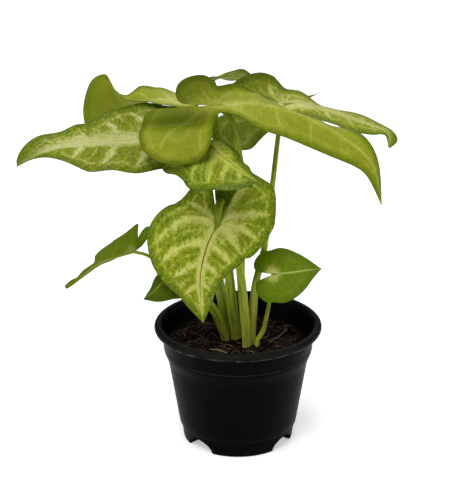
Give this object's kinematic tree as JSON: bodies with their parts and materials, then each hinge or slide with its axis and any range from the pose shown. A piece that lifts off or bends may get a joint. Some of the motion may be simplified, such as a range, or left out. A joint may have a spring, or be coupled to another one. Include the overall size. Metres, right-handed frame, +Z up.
{
  "type": "potted golden arrowhead vine",
  "caption": "Potted arrowhead vine: lime and cream arrow-shaped leaves on slender stalks, rising from dark soil in a squat black nursery pot.",
  "frame": {"origin": "on the pot's axis, at the surface the pot stands on", "axes": "+Z up along the pot's axis; -Y towards the viewer of the picture, whose front the heart-shaped leaf faces; +X to the viewer's right"},
  "size_m": [0.2818, 0.1457, 0.2943],
  "materials": {
    "pot": "satin black moulded plastic",
    "soil": "damp dark peat and coir with loose fibres",
    "leaf_lime": "satin leaf, lime green with cream veins",
    "leaf_green": "satin leaf, plain mid green"
  },
  "bodies": {
    "root": {"pot": "pot", "soil": "soil", "leaf_left_long": "leaf_lime", "leaf_back_left": "leaf_lime", "leaf_right_long": "leaf_lime", "leaf_right_back": "leaf_lime", "leaf_back": "leaf_lime", "leaf_middle_front": "leaf_lime", "leaf_front_heart": "leaf_lime", "leaf_small_right": "leaf_green", "leaf_small_left": "leaf_green", "leaf_lower_left": "leaf_green"}
  },
  "joints": []
}
